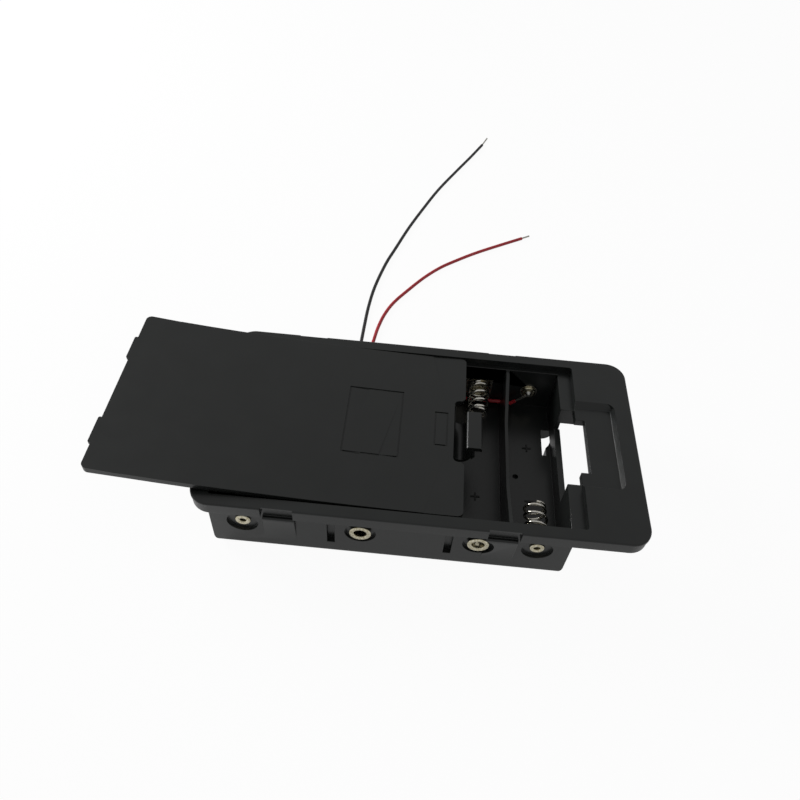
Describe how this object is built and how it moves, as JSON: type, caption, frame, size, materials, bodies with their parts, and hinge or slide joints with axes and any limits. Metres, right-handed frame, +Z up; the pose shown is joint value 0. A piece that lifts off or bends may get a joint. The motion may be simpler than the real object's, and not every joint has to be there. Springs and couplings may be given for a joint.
{
  "type": "cylindrical cell holder",
  "caption": "Shallow flanged box with side-by-side bays for round cells, coil spring contacts, panel snap hooks, a loose snap-in lid and bare-ended leads.",
  "frame": {"origin": "middle of the body's underside, where the ribs cross, on the surface that the holder stands on", "axes": "+X along the row of cells towards the latch end, +Y towards the long wall that the leads come out of, +Z up out of the bays"},
  "size_m": [0.1452, 0.2311, 0.0272],
  "materials": {
    "black_abs": "satin moulded ABS",
    "nickel_plate": "bright nickel plate",
    "plated_brass": "thin nickel plate on brass",
    "tin": "solder and tinned copper",
    "black_pvc": "smooth PVC insulation",
    "red_pvc": "smooth PVC insulation"
  },
  "bodies": {
    "root": {"housing": "black_abs", "lid": "black_abs", "spring_1": "nickel_plate", "spring_2": "nickel_plate", "spring_3": "nickel_plate", "spring_4": "nickel_plate", "spring_5": "nickel_plate", "spring_6": "nickel_plate", "near_eyelet_1": "plated_brass", "near_eyelet_3": "plated_brass", "near_eyelet_5": "plated_brass", "near_eyelet_6": "plated_brass", "far_eyelet_1": "plated_brass", "far_eyelet_2": "plated_brass", "far_eyelet_3": "plated_brass", "far_eyelet_4": "plated_brass", "far_eyelet_5": "plated_brass", "far_eyelet_6": "plated_brass", "near_strip_12": "nickel_plate", "near_strip_34": "nickel_plate", "near_strip_56": "nickel_plate", "far_strip_23": "nickel_plate", "far_strip_45": "nickel_plate", "minus_tag": "nickel_plate", "plus_tag": "nickel_plate", "minus_solder": "tin", "plus_solder": "tin", "black_inner_wire": "black_pvc", "red_inner_wire": "red_pvc", "black_lead": "black_pvc", "red_lead": "red_pvc", "black_tip": "tin", "red_tip": "tin"}
  },
  "joints": []
}
